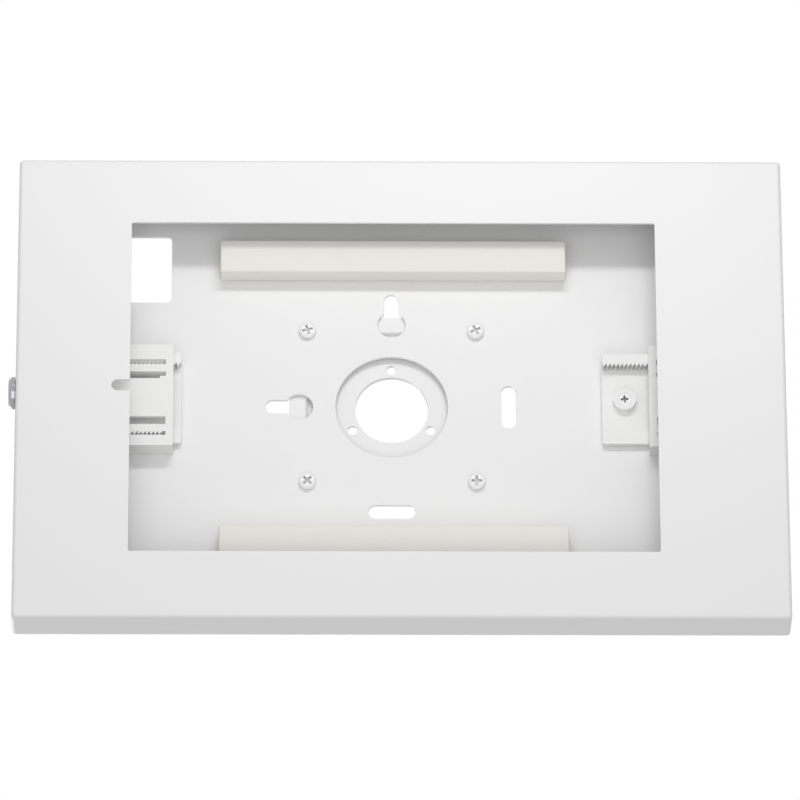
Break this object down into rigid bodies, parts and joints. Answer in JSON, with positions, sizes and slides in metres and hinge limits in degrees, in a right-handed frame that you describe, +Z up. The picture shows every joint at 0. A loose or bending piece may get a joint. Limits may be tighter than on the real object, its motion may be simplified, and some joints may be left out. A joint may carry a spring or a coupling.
{
  "type": "tablet wall mount",
  "caption": "Lockable white steel wall enclosure that holds a tablet behind a screen window, with a hinged front, foam pads and sliding width adjusters.",
  "frame": {"origin": "centre of the wall plate's screw pattern, on the wall plane", "axes": "+Z up the wall, +X along the enclosure's long side, to the right of someone facing it, +Y into the wall; the viewer is on the -Y side"},
  "size_m": [0.3442, 0.0264, 0.227],
  "materials": {
    "white_powder_coat": "satin white powder coat",
    "white_screw": "white painted screw heads",
    "white_plastic": "moulded, satin",
    "cream_foam": "closed-cell foam, matt",
    "zinc_steel": "zinc plated",
    "chrome_lock": "polished"
  },
  "bodies": {
    "housing": {"wall_plate": "white_powder_coat", "back_tray": "white_powder_coat", "tray_screw_upper_left": "white_screw", "tray_screw_upper_right": "white_screw", "tray_screw_lower_left": "white_screw", "tray_screw_lower_right": "white_screw", "foam_pad_upper": "cream_foam", "foam_pad_lower": "cream_foam", "adjuster_base_left": "white_plastic", "adjuster_base_right": "white_plastic", "base_screw_left_1": "white_screw", "base_screw_left_2": "white_screw", "base_screw_right_1": "white_screw", "base_screw_right_2": "white_screw", "tray_hinge_leaf_upper": "zinc_steel", "tray_hinge_leaf_lower": "zinc_steel", "hinge_pin_upper": "zinc_steel", "hinge_pin_lower": "zinc_steel", "lock_catch": "zinc_steel"},
    "cover": {"front_cover": "white_powder_coat", "cover_hinge_leaf_upper": "zinc_steel", "cover_hinge_leaf_lower": "zinc_steel", "lock_body": "chrome_lock", "lock_nut": "zinc_steel"},
    "lock": {"lock_core": "chrome_lock", "lock_cam": "zinc_steel", "cam_screw": "zinc_steel"},
    "left_jaw": {"adjuster_jaw_left": "white_plastic"},
    "right_jaw": {"adjuster_jaw_right": "white_plastic"}
  },
  "joints": [
    {"name": "cover_hinge", "type": "hinge", "parent": "housing", "child": "cover", "pos_m": [0.1704, -0.0105, 0], "axis": [0, 0, 1], "range_deg": [0, 100]},
    {"name": "lock_turn", "type": "hinge", "parent": "cover", "child": "lock", "pos_m": [-0.1666, -0.0173, 0], "axis": [1, 0, 0], "range_deg": [0, 90]},
    {"name": "left_jaw_slide", "type": "slide", "parent": "housing", "child": "left_jaw", "axis": [1, 0, 0], "range_m": [-0.0165, 0]},
    {"name": "right_jaw_slide", "type": "slide", "parent": "housing", "child": "right_jaw", "axis": [1, 0, 0], "range_m": [-0.0165, 0]}
  ]
}
